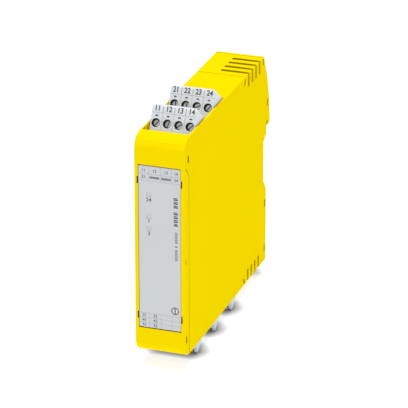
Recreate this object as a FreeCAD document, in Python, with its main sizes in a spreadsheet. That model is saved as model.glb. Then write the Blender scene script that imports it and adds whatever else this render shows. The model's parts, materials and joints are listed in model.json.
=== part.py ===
import FreeCAD, Part

import os
import re
from math import cos, pi, sin

import Sketcher

# A slim safety relay for a 35 mm mounting rail: an upright moulded housing with a
# snapped front cover, five tilted plug-in screw connectors (two above, three below),
# the circuit board with its relays inside, and a sprung foot latch at the rear.
# X is the width, Y runs from the front (-Y) to the rail (+Y), Z is up.
# The origin is on the standing surface, under the middle of the housing.

DIMENSIONS = {
    # housing
    "body_width": 22.2,
    "body_height": 99.0,
    "overall_height": 112.2,
    "overall_depth": 114.9,
    "body_depth": 110.1,
    "edge_radius": 6.0,
    "edge_soft": 0.4,
    "wall_side": 1.4,
    "wall_edge": 1.5,
    "wall_rear": 1.8,
    "bay_wall": 0.95,
    "bay_front": 7.9,
    # rail seat: a 35 mm rail with 1 mm flanges
    "rail_height": 35.0,
    "rail_flange": 1.0,
    "rail_play": 0.3,
    "recess_depth": 4.0,
    "recess_top": 9.2,
    "recess_low": 9.4,
    "recess_out": 12.0,
    "recess_under": 14.7,
    "hook_low": 15.4,
    "hook_lead": 0.3,
    # front cover and label
    "cover_depth": 5.3,
    "cover_step": 1.2,
    "step_high": 36.8,
    "step_low": 32.4,
    "cover_wall": 2.0,
    "seam_width": 0.35,
    "seam_depth": 0.45,
    "crease_width": 0.3,
    "crease_depth": 0.15,
    "label_width": 18.6,
    "label_top": 36.6,
    "label_low": 37.0,
    "label_sink": 0.9,
    "label_thick": 0.75,
    "label_gap": 0.35,
    "pry_height": 3.2,
    "pry_width": 0.9,
    "snap_depth": 4.6,
    "snap_high": 40.0,
    "snap_tall": 3.0,
    "snap_wide": 1.6,
    "barb_proud": 0.4,
    "arm_half": 2.2,
    "arm_end": 6.8,
    "mark_height": 3.3,
    "mark_width": 1.3,
    "mark_sink": 0.9,
    "window_side": 4.75,
    "window_radius": 0.8,
    # connector rows, each tilted back
    "tilt_angle": 27.5,
    "row_first": 20.6,
    "row_pitch": 23.1,
    "pole_pitch": 5.0,
    "plug_width": 19.9,
    "plug_thick": 11.0,
    "plug_seat": 13.5,
    "plug_slope": 9.5,
    "plug_play": 0.4,
    "ridge_radius": 1.2,
    "ridge_round": 1.8,
    "nose_width": 17.8,
    "nose_inset": 1.5,
    "nose_length": 8.0,
    "screw_down": 8.3,
    "screw_bore": 1.85,
    "screw_sink": 2.9,
    "head_radius": 1.4,
    "head_height": 1.1,
    "shank_radius": 1.1,
    "slot_width": 0.5,
    "slot_depth": 0.6,
    "probe_down": 5.2,
    "probe_width": 1.2,
    "probe_tall": 0.65,
    "band_height": 3.9,
    "band_step": 0.12,
    "groove_width": 0.25,
    "groove_depth": 0.24,
    "wire_width": 3.2,
    "wire_front": 5.2,
    "wire_back": 8.8,
    "pin_size": 1.0,
    # vents
    "vent_first": 84.5,
    "vent_pitch": 5.05,
    "vent_width": 2.1,
    "vent_height": 6.0,
    "vent_inner": 1.5,
    # circuit board
    "board_face": 8.2,
    "board_thick": 1.5,
    "board_reach": 103.5,
    "board_half": 46.0,
    "lamp_depth": 4.7,
    # foot latch
    "latch_width": 12.0,
    "latch_flange": 15.0,
    "latch_thick": 3.0,
    "latch_play": 0.2,
    "latch_low": 52.4,
    "grip_proud": 1.6,
    "grip_tall": 2.0,
    "nose_proud": 3.1,
    "flange_low": 49.0,
    "flange_high": 18.4,
    "stop_low": 46.0,
    "stop_high": 44.0,
    "spring_top": 30.0,
    "spring_wire": 0.45,
    "spring_radius": 1.1,
}
TOP_ROWS = 2
BOTTOM_ROWS = 3
POLES = 4
VENTS = 4
SPRING_TURNS = 7
WIRE_SIDES = 8

doc = FreeCAD.newDocument("SafetyRelay")
sheet = doc.addObject("Spreadsheet::Sheet", "Sizes")
for line, (alias, number) in enumerate(DIMENSIONS.items(), start=1):
    sheet.set(f"A{line}", alias)
    sheet.set(f"B{line}", str(number))
    sheet.setAlias(f"B{line}", alias)
doc.recompute()

sub_parts = []


# ---------------------------------------------------------------- sheet and sketch helpers
def bound(expression):
    """Turns alias words, which all hold an underscore, into references to the sheet."""
    return re.sub(r"\b[a-z]+_[a-z]+\b", r"Sizes.\g<0>", str(expression))


def size(expression):
    """The present value of an expression in the sheet's aliases."""
    result = sheet.evalExpression(bound(expression))
    return float(getattr(result, "Value", result))


def new_body(label):
    body = doc.addObject("PartDesign::Body", label)
    body.Label = label
    sub_parts.append(body)
    return body


def role(body, name):
    return next(item for item in body.Origin.OriginFeatures if item.Role == name)


def new_sketch(body, name, plane, offset=0):
    sketch = body.newObject("Sketcher::SketchObject", name)
    sketch.AttachmentSupport = [(role(body, plane), "")]
    sketch.MapMode = "FlatFace"
    sketch.setExpression(".AttachmentOffset.Base.z", bound(offset))
    return sketch


def fix(sketch, kind, geometry, point, expression):
    """Ties one coordinate of a sketch point to the sheet."""
    number = sketch.addConstraint(Sketcher.Constraint(kind, -1, 1, geometry, point, size(expression)))
    sketch.setExpression(f"Constraints[{number}]", bound(expression))


def add_outline(sketch, corners):
    """A closed run of straight lines through (u, v) corners given as expressions."""
    first = sketch.GeometryCount
    points = [FreeCAD.Vector(size(u), size(v), 0) for u, v in corners]
    count = len(points)
    for number in range(count):
        sketch.addGeometry(Part.LineSegment(points[number], points[(number + 1) % count]))
    for number in range(count):
        following = first + (number + 1) % count
        sketch.addConstraint(Sketcher.Constraint("Coincident", first + number, 2, following, 1))
    for number, (u, v) in enumerate(corners):
        fix(sketch, "DistanceX", first + number, 1, u)
        fix(sketch, "DistanceY", first + number, 1, v)


def add_rectangle(sketch, low_u, low_v, high_u, high_v):
    add_outline(sketch, [(low_u, low_v), (high_u, low_v), (high_u, high_v), (low_u, high_v)])


def add_circle(sketch, u, v, radius):
    centre = FreeCAD.Vector(size(u), size(v), 0)
    number = sketch.addGeometry(Part.Circle(centre, FreeCAD.Vector(0, 0, 1), size(radius)))
    fix(sketch, "DistanceX", number, 3, u)
    fix(sketch, "DistanceY", number, 3, v)
    ring = sketch.addConstraint(Sketcher.Constraint("Radius", number, size(radius)))
    sketch.setExpression(f"Constraints[{ring}]", bound(radius))


def extrude(kind, sketch, length, symmetric=False, flipped=False):
    """A Pad or a Pocket of the sketch, as long as the expression says."""
    body = sketch.getParentGeoFeatureGroup()
    feature = body.newObject(f"PartDesign::{kind}", sketch.Name + kind)
    feature.Profile = sketch
    feature.SideType = "Symmetric" if symmetric else "One side"
    feature.Reversed = flipped
    feature.setExpression("Length", bound(length))
    return feature


def side_shape(body, kind, name, corners, width):
    """A side view outline (depth, height), pushed out equally to both sides."""
    sketch = new_sketch(body, name, "YZ_Plane")
    add_outline(sketch, corners)
    return extrude(kind, sketch, width, symmetric=True)


def edges_where(feature, test):
    doc.recompute()
    edges = feature.Shape.Edges
    return [f"Edge{number}" for number, edge in enumerate(edges, start=1) if test(edge)]


def soften(feature, radius, test, kind="Fillet"):
    """A Fillet or a Chamfer on the edges of a feature that pass the test."""
    names = edges_where(feature, test)
    body = feature.getParentGeoFeatureGroup()
    dress = body.newObject(f"PartDesign::{kind}", feature.Name + kind)
    dress.Base = (feature, names)
    dress.setExpression("Radius" if kind == "Fillet" else "Size", bound(radius))
    return dress


def is_at(edge, y=None, z=None, along=None):
    """True for a straight edge with its middle at the given place and direction."""
    centre = edge.CenterOfMass
    span = edge.BoundBox
    fits_y = y is None or abs(centre.y - y) < 0.01
    fits_z = z is None or abs(centre.z - z) < 0.01
    lengths = {"X": span.XLength, "Y": span.YLength, "Z": span.ZLength}
    fits_way = along is None or lengths[along] > 0.99 * edge.Length
    return fits_y and fits_z and fits_way


def repeat(body, features, spacing, count):
    """Copies features along X."""
    pattern = body.newObject("PartDesign::LinearPattern", features[0].Name + "Row")
    pattern.Originals = features
    pattern.Direction = (role(body, "X_Axis"), [""])
    pattern.setExpression("Length", bound(f"({spacing}) * {count - 1}"))
    pattern.Occurrences = count
    body.Tip = pattern
    return pattern


# ---------------------------------------------------------------- places in the side view
# The housing is drawn about its own middle: depth d counts back from the front face and
# height is measured from mid-height. DEPTH and RISE turn those into Y and Z.
MIDDLE = "overall_height / 2"
# the ridge is rounded, so its two faces meet a little beyond the overall height
RIDGE = ("overall_height / 2 + ridge_radius * (sin(tilt_angle) - 1"
         " + cos(tilt_angle) * (1 + sin(plug_slope)) / cos(plug_slope))")


def at(depth, height):
    return (f"({depth}) - overall_depth / 2", f"({height}) + {MIDDLE}")


def row_place(row, back, out, side=1):
    """A point of a connector row: `back` from its screw face, `out` along its axis."""
    depth = f"row_first + {row} * row_pitch + ({back}) * cos(tilt_angle) + ({out}) * sin(tilt_angle)"
    height = f"{RIDGE} - ({back}) * sin(tilt_angle) + ({out}) * cos(tilt_angle)"
    return at(depth, f"{side} * ({height})")


def out_at_height(back, height):
    """How far out along a row's axis a point stands that is `height` above mid-height."""
    return f"(({height}) - ({RIDGE}) + ({back}) * sin(tilt_angle)) / cos(tilt_angle)"


def bay_steps(rows, play, seat, height, side):
    """The stepped floor behind and under the plugs, from the first row to the last."""
    back = f"plug_thick + plug_play + ({play})"
    step = "row_pitch * sin(tilt_angle)"
    corners = []
    for row in range(rows):
        corners.append(row_place(row, back, f"-({seat})", side))
        last = row == rows - 1
        rise = out_at_height(back, height) if last else f"{step} - ({seat})"
        corners.append(row_place(row, back, rise, side))
    return corners


def floor_height_at(depth, seat):
    """Height of the first row's sloping floor at a depth in front of the plug."""
    return f"{RIDGE} - ({seat}) / cos(tilt_angle) - (({depth}) - row_first) * tan(tilt_angle)"


def floor_depth_at(height, seat):
    return f"row_first + ({RIDGE} - ({seat}) / cos(tilt_angle) - ({height})) / tan(tilt_angle)"


HALF_HEIGHT = "body_height / 2"
HALF_WIDTH = "body_width / 2"
CAVITY_WIDTH = "body_width - 2 * wall_side"
BAY_WIDTH = "body_width - 2 * bay_wall"
SEAT_DEPTH = "body_depth"
RECESS_BACK = "body_depth - recess_depth"
SLOT_TOP = "rail_height / 2 + rail_play"
SLOT_BACK = "body_depth + rail_flange + rail_play"
# above the hook the back leans in: how far ahead of the rearmost plane, and how high
BACK_LEAN = (("0", "17.2"), ("0.5", "21.8"), ("1.3", "28.5"), ("4.9", "41.5"), ("8.5", HALF_HEIGHT))


# ---------------------------------------------------------------- housing
def round_the_front(block):
    """Large radii at the front's top and bottom, then a fine one along both side faces."""
    front = size("-overall_depth / 2")
    rear = size("body_depth - overall_depth / 2 - 0.1")
    half = size(HALF_WIDTH)
    rounded = soften(block, "edge_radius", lambda edge: is_at(edge, y=front, along="X"))
    return soften(rounded, "edge_soft", lambda edge: (
        edge.CenterOfMass.y < rear and abs(abs(edge.CenterOfMass.x) - half) < 0.01
        and not in_rail_seat(edge)))


def in_rail_seat(edge):
    place = edge.CenterOfMass
    seat = size(f"{RECESS_BACK} - overall_depth / 2")
    return place.y > seat - 0.1 and abs(place.z - size(MIDDLE)) < size("hook_low")


def make_housing():
    body = new_body("housing")
    outline = [
        at("0", f"-{HALF_HEIGHT}"), at(SEAT_DEPTH, f"-{HALF_HEIGHT}"),
        at(SEAT_DEPTH, "-recess_under"), at(RECESS_BACK, "-recess_low"),
        at(RECESS_BACK, "recess_top"), at(SEAT_DEPTH, "recess_out"),
        at(SEAT_DEPTH, SLOT_TOP), at(SLOT_BACK, SLOT_TOP), at(SLOT_BACK, "hook_low"),
        at("overall_depth", "hook_low + hook_lead"),
    ]
    outline += [at(f"overall_depth - {ahead}", height) for ahead, height in BACK_LEAN]
    outline.append(at("0", HALF_HEIGHT))
    block = side_shape(body, "Pad", "Envelope", outline, "body_width")
    round_the_front(block)

    # the front cover takes everything ahead of the parting line
    parting = [
        at("-1", f"{HALF_HEIGHT} + 1"), at("cover_step", f"{HALF_HEIGHT} + 1"),
        at("cover_step", "step_high"), at("cover_depth", "step_low"),
        at("cover_depth", f"-{HALF_HEIGHT} - 1"), at("-1", f"-{HALF_HEIGHT} - 1"),
    ]
    side_shape(body, "Pocket", "CoverSpace", parting, "body_width + 2")

    # the hollow for the circuit board follows the stepped connector floors
    inner_top = f"{HALF_HEIGHT} - wall_edge"
    shell_seat = "plug_seat + wall_edge"
    rear = f"{SEAT_DEPTH} - recess_depth - wall_rear"
    crown = f"{HALF_HEIGHT} - wall_edge - 0.4"
    hollow = [
        at("cover_step - 1", f"{HALF_HEIGHT} - edge_radius"), at("1.6", f"{HALF_HEIGHT} - edge_radius"),
        at("3.2", f"{HALF_HEIGHT} - 2.6"), at(floor_depth_at(crown, shell_seat), crown),
    ]
    hollow += bay_steps(TOP_ROWS, "wall_edge", shell_seat, inner_top, 1)
    hollow += [
        at(rear, inner_top), at("body_depth - wall_rear", "39.5"),
        at("overall_depth - 2 * wall_rear", "27"), at("overall_depth - 2 * wall_rear", "20.5"),
        at(rear, "13.5"), at(rear, f"-({inner_top})"),
    ]
    lower = [at("cover_step - 1", f"-({inner_top})"),
             at(floor_depth_at(inner_top, shell_seat), f"-({inner_top})")]
    lower += bay_steps(BOTTOM_ROWS, "wall_edge", shell_seat, inner_top, -1)
    hollow += reversed(lower)
    side_shape(body, "Pocket", "Hollow", hollow, CAVITY_WIDTH)

    for side, rows, word in ((1, TOP_ROWS, "Top"), (-1, BOTTOM_ROWS, "Bottom")):
        beyond = f"{HALF_HEIGHT} + 1"
        front_floor = floor_height_at("bay_front", "plug_seat")
        bay = [at("bay_front", f"{side} * ({beyond})"), at("bay_front", f"{side} * ({front_floor})")]
        bay += bay_steps(rows, "0", "plug_seat", beyond, side)
        side_shape(body, "Pocket", f"{word}Bay", bay, BAY_WIDTH)
        # each row's floor is open for the nose of its plug
        sketch = new_sketch(body, f"{word}Windows", "YZ_Plane")
        for row in range(rows):
            window = [row_place(row, back, out, side) for back, out in (
                ("nose_inset - 0.3", "-plug_seat + 0.4"),
                ("plug_thick - nose_inset + 0.3", "-plug_seat + 0.4"),
                ("plug_thick - nose_inset + 0.3", "-plug_seat - wall_edge - 0.3"),
                ("nose_inset - 0.3", "-plug_seat - wall_edge - 0.3"))]
            add_outline(sketch, window)
        extrude("Pocket", sketch, "nose_width + 0.5", symmetric=True)

    make_seam(body)
    make_creases(body)
    make_vents(body)
    make_latch_channel(body)
    make_side_marks(body)
    return body


def make_seam(body):
    """A fine shadow gap in both side walls, just behind the parting line."""
    band = [
        at("cover_step", "step_high"), at("cover_depth", "step_low"),
        at("cover_depth", f"-{HALF_HEIGHT} - 1"), at("cover_depth + seam_width", f"-{HALF_HEIGHT} - 1"),
        at("cover_depth + seam_width", "step_low + 0.4 * seam_width"),
        at("cover_step", "step_high + 1.45 * seam_width"),
    ]
    for way, word in ((1, "Right"), (-1, "Left")):
        sketch = new_sketch(body, f"{word}Seam", "YZ_Plane", f"{way} * {HALF_WIDTH}")
        add_outline(sketch, band)
        extrude("Pocket", sketch, "seam_depth", flipped=way < 0)


def make_creases(body):
    """Fine mould lines that cross the top and the bottom."""
    sketch = new_sketch(body, "Creases", "YZ_Plane")
    for side in (1, -1):
        for depth in ("79.3", "104.5"):
            low = f"{side} * ({HALF_HEIGHT} - crease_depth)"
            high = f"{side} * ({HALF_HEIGHT} + 1)"
            add_outline(sketch, [
                at(depth, low), at(f"{depth} + crease_width", low),
                at(f"{depth} + crease_width", high), at(depth, high)])
    extrude("Pocket", sketch, "body_width + 2", symmetric=True)


def make_vents(body):
    """Four cooling slots that wrap over the right-hand edge, above and below."""
    for side, word in ((1, "Upper"), (-1, "Lower")):
        sketch = new_sketch(body, f"{word}Vents", "YZ_Plane", HALF_WIDTH)
        low = f"{side} * ({HALF_HEIGHT} - vent_height)"
        high = f"{side} * ({HALF_HEIGHT} + 1)"
        for number in range(VENTS):
            middle = f"vent_first + {number} * vent_pitch"
            add_outline(sketch, [
                at(f"{middle} - vent_width / 2", low), at(f"{middle} + vent_width / 2", low),
                at(f"{middle} + vent_width / 2", high), at(f"{middle} - vent_width / 2", high)])
        extrude("Pocket", sketch, "wall_side + 0.2")
        deep = new_sketch(body, f"{word}VentRoof", "YZ_Plane", HALF_WIDTH)
        for number in range(VENTS):
            middle = f"vent_first + {number} * vent_pitch"
            under = f"{side} * ({HALF_HEIGHT} - wall_edge - 0.2)"
            add_outline(deep, [
                at(f"{middle} - vent_width / 2", under), at(f"{middle} + vent_width / 2", under),
                at(f"{middle} + vent_width / 2", high), at(f"{middle} - vent_width / 2", high)])
        extrude("Pocket", deep, f"{HALF_WIDTH} + vent_inner")


LATCH_TOP = "-rail_height / 2 - rail_play"
CHANNEL_FLOOR = "body_depth - latch_thick - 0.4 - latch_play"
FLANGE_FACE = "body_depth - 1.9"


def make_latch_channel(body):
    """The T-shaped guide in the rear wall and the stop that the spring stands on."""
    narrow = new_sketch(body, "LatchSlot", "XZ_Plane", "-body_depth + overall_depth / 2")
    half = "latch_width / 2 + latch_play"
    low = at("0", f"-{HALF_HEIGHT} - 1")[1]
    add_rectangle(narrow, f"-({half})", low, half, at("0", "-16")[1])
    extrude("Pocket", narrow, f"body_depth - ({CHANNEL_FLOOR})", flipped=True)
    wide = new_sketch(body, "LatchGroove", "XZ_Plane", f"-({FLANGE_FACE}) + overall_depth / 2")
    half = "latch_flange / 2 + latch_play"
    add_rectangle(wide, f"-({half})", low, half, at("0", "-18")[1])
    extrude("Pocket", wide, f"{FLANGE_FACE} - ({CHANNEL_FLOOR})", flipped=True)
    stop = new_sketch(body, "SpringStop", "XZ_Plane", f"-({CHANNEL_FLOOR}) + overall_depth / 2")
    add_rectangle(stop, "-1.6", at("0", "-stop_low")[1], "1.6", at("0", "-stop_high")[1])
    extrude("Pad", stop, "latch_thick")


def add_slit(sketch, depth, height, wide, tall, lean="0"):
    """A slim upright outline about its middle, its top leaned back and its foot forward."""
    corners = []
    for along, up in ((-1, -1), (1, -1), (1, 1), (-1, 1)):
        across = f"{depth} + {along} * {wide} / 2 + {up} * {lean}"
        corners.append(at(across, f"{height} + {up} * {tall} / 2"))
    add_outline(sketch, corners)


def make_side_marks(body):
    """Snap windows and tool marks in the two side walls."""
    upright = [
        ("overall_depth - 3.4", "26.3"),
        ("body_depth - 1.8", "-21.2"),
        ("body_depth - 1.8", "-43.1"),
    ]
    leaning = [("79.2", "47.0", "0.6"), ("79.2", "-47.3", "-0.6"), ("105.0", "47.4", "0.4")]
    for way, word in ((1, "Right"), (-1, "Left")):
        sketch = new_sketch(body, f"{word}Marks", "YZ_Plane", f"{way} * {HALF_WIDTH}")
        for depth, height in upright:
            add_slit(sketch, depth, height, "mark_width", "mark_height")
        for depth, height, lean in leaning:
            add_slit(sketch, depth, height, "mark_width", "0.85 * mark_height", lean)
        extrude("Pocket", sketch, "mark_sink", flipped=way < 0)
        snap = new_sketch(body, f"{word}Snap", "YZ_Plane", f"{way} * {HALF_WIDTH}")
        add_slit(snap, "snap_depth", "snap_high", "snap_wide", "snap_tall")
        extrude("Pocket", snap, "wall_side + 0.2", flipped=way < 0)


# ---------------------------------------------------------------- front cover and label
def make_front_cover():
    body = new_body("front_cover")
    block = side_shape(body, "Pad", "Blank", [
        at("0", f"-{HALF_HEIGHT}"), at("bay_front", f"-{HALF_HEIGHT}"),
        at("bay_front", HALF_HEIGHT), at("0", HALF_HEIGHT)], "body_width")
    round_the_front(block)
    side_shape(body, "Pocket", "Behind", [
        at("cover_step", f"{HALF_HEIGHT} + 1"), at("cover_step", "step_high"),
        at("cover_depth", "step_low"), at("cover_depth", f"-{HALF_HEIGHT} - 1"),
        at("bay_front + 1", f"-{HALF_HEIGHT} - 1"), at("bay_front + 1", f"{HALF_HEIGHT} + 1"),
    ], "body_width + 2")
    side_shape(body, "Pocket", "Inside", [
        at("cover_wall", "step_low - 1"), at("cover_depth + 1", "step_low - 1"),
        at("cover_depth + 1", f"-{HALF_HEIGHT} + wall_edge"),
        at("edge_radius", f"-{HALF_HEIGHT} + wall_edge"),
        at("cover_wall", f"-{HALF_HEIGHT} + edge_radius"),
    ], CAVITY_WIDTH)

    # the label sits in a shallow recess, with a pry slot at each side
    recess = new_sketch(body, "LabelRecess", "XZ_Plane", "overall_depth / 2")
    add_rectangle(recess, "-label_width / 2 - 0.1", at("0", "-label_low - label_gap")[1],
                  "label_width / 2 + 0.1", at("0", "label_top + label_gap")[1])
    extrude("Pocket", recess, "label_sink")
    slots = new_sketch(body, "PrySlots", "XZ_Plane", "overall_depth / 2")
    for way in (-1, 1):
        for middle in ("30.0", "-31.5"):
            near = f"{way} * (label_width / 2 - 0.2)"
            far = f"{near} + {way} * pry_width"
            inner, outer = sorted((near, far), key=size)
            add_rectangle(slots, inner, at("0", f"{middle} - pry_height / 2")[1],
                          outer, at("0", f"{middle} + pry_height / 2")[1])
    extrude("Pocket", slots, "label_sink + 0.4")

    windows = new_sketch(body, "Windows", "XZ_Plane", "overall_depth / 2")
    for height in WINDOW_HEIGHTS:
        add_circle(windows, "-window_side", at("0", height)[1], "window_radius + 0.05")
    extrude("Pocket", windows, "cover_depth")

    for way, word in ((1, "Right"), (-1, "Left")):
        mark = new_sketch(body, f"{word}Mark", "YZ_Plane", f"{way} * {HALF_WIDTH}")
        add_slit(mark, "2.0", "-41.2", "mark_width", "mark_height")
        extrude("Pocket", mark, "mark_sink", flipped=way < 0)
        notch = new_sketch(body, f"{word}Notch", "YZ_Plane", f"{way} * {HALF_WIDTH}")
        add_slit(notch, "1.6", "-5.3", "0.6 * mark_width", "0.6 * mark_height")
        extrude("Pocket", notch, "0.3 * mark_sink", flipped=way < 0)

    # snap arms reach back inside the housing's walls; the upper pair has barbs
    arms = [at("cover_step", "snap_high - arm_half"), at("arm_end", "snap_high - arm_half"),
            at("arm_end", "snap_high + arm_half"), at("cover_step", "snap_high + arm_half")]
    side_shape(body, "Pad", "Arms", arms, f"{CAVITY_WIDTH} - 0.1")
    clear = [at("cover_step", "snap_high - arm_half - 1"), at("arm_end + 1", "snap_high - arm_half - 1"),
             at("arm_end + 1", "snap_high + arm_half + 1"), at("cover_step", "snap_high + arm_half + 1")]
    side_shape(body, "Pocket", "BetweenArms", clear, f"{CAVITY_WIDTH} - 2.1")
    for way, word in ((1, "Right"), (-1, "Left")):
        barb = new_sketch(body, f"{word}Barb", "YZ_Plane", f"{way} * ({CAVITY_WIDTH} - 0.1) / 2")
        add_slit(barb, "snap_depth", "snap_high", "0.65 * snap_wide", "0.75 * snap_tall")
        extrude("Pad", barb, "barb_proud", flipped=way < 0)
    return body


WINDOW_HEIGHTS = ("23.6", "13.6", "8.4")


def make_label_plate():
    body = new_body("label_plate")
    sketch = new_sketch(body, "Plate", "XZ_Plane", "overall_depth / 2 - label_sink")
    add_rectangle(sketch, "-label_width / 2", at("0", "-label_low")[1],
                  "label_width / 2", at("0", "label_top")[1])
    plate = extrude("Pad", sketch, "label_thick")
    soften(plate, "0.5", lambda edge: is_at(edge, along="Y"))
    windows = new_sketch(body, "Windows", "XZ_Plane", "overall_depth / 2")
    for height in WINDOW_HEIGHTS:
        add_circle(windows, "-window_side", at("0", height)[1], "window_radius + 0.05")
    extrude("Pocket", windows, "cover_depth")
    return body


def make_light_guides():
    """Three clear rods on one moulded web, from the board's lamps to the label."""
    body = new_body("light_guides")
    rods = new_sketch(body, "Rods", "XZ_Plane", "overall_depth / 2 - 0.2")
    for height in WINDOW_HEIGHTS:
        add_circle(rods, "-window_side", at("0", height)[1], "window_radius")
    extrude("Pad", rods, "lamp_depth - 0.4", flipped=True)
    web = new_sketch(body, "Web", "XZ_Plane", "overall_depth / 2 - cover_wall")
    add_rectangle(web, "-window_side - 1.2", at("0", "6.2")[1], "-window_side + 1.2", at("0", "25.8")[1])
    extrude("Pad", web, "1.2", flipped=True)
    return body


# ---------------------------------------------------------------- electronics
BOARD_LEFT = "-board_face - board_thick"


def make_circuit_board():
    body = new_body("circuit_board")
    sketch = new_sketch(body, "Board", "YZ_Plane", BOARD_LEFT)
    under = "29.6"
    add_outline(sketch, [
        at("6.5", f"-{under}"), at("79.5", f"-{under}"), at("79.5", "-board_half"),
        at("board_reach", "-board_half"), at("board_reach", "board_half"),
        at("56.5", "board_half"), at("56.5", under), at("6.5", under)])
    board = extrude("Pad", sketch, "board_thick")
    soften(board, "1.0", lambda edge: is_at(edge, along="X"))
    return body


def board_box(name, depth, height, deep, tall, proud, bevel):
    """A part standing on the board: a box with bevelled outer edges."""
    body = new_body(name)
    sketch = new_sketch(body, name + "Foot", "YZ_Plane", "-board_face")
    add_outline(sketch, [
        at(f"{depth} - {deep} / 2", f"{height} - {tall} / 2"),
        at(f"{depth} + {deep} / 2", f"{height} - {tall} / 2"),
        at(f"{depth} + {deep} / 2", f"{height} + {tall} / 2"),
        at(f"{depth} - {deep} / 2", f"{height} + {tall} / 2")])
    block = extrude("Pad", sketch, proud)
    face = size(f"-board_face + {proud}")
    soften(block, bevel, lambda edge: abs(edge.CenterOfMass.x - face) < 0.01 or is_at(edge, along="X"),
           "Chamfer")
    return body


def make_electronics():
    make_circuit_board()
    for number, height in ((1, "8.5"), (2, "-8.5")):
        board_box(f"safety_contact_relay_{number}", "72", height, "40", "13.2", "16.2", "0.4")
    board_box("isolating_transformer", "92", "32.5", "15", "17", "12.5", "1.0")
    chips = new_body("controller_chips")
    sketch = new_sketch(chips, "Chips", "YZ_Plane", "-board_face")
    for height in ("12", "-8"):
        add_outline(sketch, [at("26", f"{height} - 5"), at("36", f"{height} - 5"),
                             at("36", f"{height} + 5"), at("26", f"{height} + 5")])
    extrude("Pad", sketch, "1.4")
    capacitors = new_body("smoothing_capacitors")
    can_height = "14"
    sketch = new_sketch(capacitors, "Cans", "YZ_Plane", "-board_face")
    for height in ("-27", "-38"):
        add_circle(sketch, *at("92", height), "4.5")
    cans = extrude("Pad", sketch, can_height)
    rim = size(f"-board_face + {can_height}")
    soften(cans, "0.5", lambda edge: abs(edge.CenterOfMass.x - rim) < 0.01, "Chamfer")
    lamps = new_body("status_lamps")
    sketch = new_sketch(lamps, "Lamps", "YZ_Plane", "-board_face")
    for height in WINDOW_HEIGHTS:
        add_outline(sketch, [
            at("lamp_depth", f"{height} - 1.3"), at("lamp_depth + 2.8", f"{height} - 1.3"),
            at("lamp_depth + 2.8", f"{height} + 1.3"), at("lamp_depth", f"{height} + 1.3")])
    extrude("Pad", sketch, "4.6")


# ---------------------------------------------------------------- connectors
# Each connector is drawn upright in its own frame and then tilted into its row: X is the
# width, Y runs back from the screw face and Z out along the wires, with 0 at the ridge.
FIRST_POLE = f"-pole_pitch * {(POLES - 1) / 2}"
POLE_MIDDLE = "plug_thick / 2"
CONTACT_BAR = (5.05, 5.65)
SCREW_TURNS = {
    "top_front": (58, 78, 36, 46), "top_rear": (88, 86, 32, 60),
    "bottom_front": (25, 70, 110, 50), "bottom_middle": (95, 40, 62, 15), "bottom_rear": (52, 130, 80, 34),
}


def row_placement(row, top):
    """The upright row frame, leaned back, and turned over for the rows below."""
    lean = FreeCAD.Rotation(FreeCAD.Vector(1, 0, 0), -size("tilt_angle"))
    side = 1 if top else -1
    y, z = (size(word) for word in row_place(row, "0", "0", side))
    turn = FreeCAD.Rotation() if top else FreeCAD.Rotation(FreeCAD.Vector(0, 1, 0), 180)
    return FreeCAD.Placement(FreeCAD.Vector(0, y, z), turn.multiply(lean))


def pole_pocket(body, name, plane, offset, length, half_u, low_v, high_v):
    sketch = new_sketch(body, name, plane, offset)
    add_rectangle(sketch, f"{FIRST_POLE} - ({half_u})", low_v, f"{FIRST_POLE} + ({half_u})", high_v)
    return extrude("Pocket", sketch, length)


def round_ridge_ends(body):
    """Rounds the two top corners of a plug, along the whole slope behind the ridge."""
    for way, word in ((1, "Right"), (-1, "Left")):
        sketch = new_sketch(body, f"{word}Corner", "XZ_Plane", "0.5")
        side = f"{way} * plug_width / 2"
        inner = f"{way} * (plug_width / 2 - ridge_round)"
        top = "0.5 * tan(plug_slope)"
        add_corner(sketch, side, inner, top, f"{top} - ridge_round", "ridge_round")
        corner = extrude("Pocket", sketch, "plug_thick + 2")
        corner.AlongSketchNormal = True
        corner.UseCustomVector = True
        corner.Direction = FreeCAD.Vector(0, size("cos(plug_slope)"), -size("sin(plug_slope)"))


def add_corner(sketch, side, inner, top, foot, radius):
    """What a round corner leaves of its square: two straight sides and a quarter arc."""
    corner = FreeCAD.Vector(size(side), size(top), 0)
    upper = FreeCAD.Vector(size(inner), size(top), 0)
    lower = FreeCAD.Vector(size(side), size(foot), 0)
    centre = FreeCAD.Vector(size(inner), size(foot), 0)
    right = corner.x > 0
    start, end = (0, 0.5 * pi) if right else (0.5 * pi, pi)
    circle = Part.Circle(centre, FreeCAD.Vector(0, 0, 1), size(radius))
    arc = sketch.addGeometry(Part.ArcOfCircle(circle, start, end))
    first = sketch.addGeometry(Part.LineSegment(lower, corner))
    second = sketch.addGeometry(Part.LineSegment(corner, upper))
    sketch.addConstraint(Sketcher.Constraint("Coincident", first, 2, second, 1))
    sketch.addConstraint(Sketcher.Constraint("Coincident", arc, 1 if right else 2, first, 1))
    sketch.addConstraint(Sketcher.Constraint("Coincident", arc, 2 if right else 1, second, 2))
    fix(sketch, "DistanceX", first, 2, side)
    fix(sketch, "DistanceY", first, 2, top)
    fix(sketch, "DistanceX", arc, 3, inner)
    fix(sketch, "DistanceY", arc, 3, foot)
    fix(sketch, "DistanceX", first, 1, side)
    fix(sketch, "DistanceY", first, 1, foot)
    fix(sketch, "DistanceX", second, 2, inner)


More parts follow.
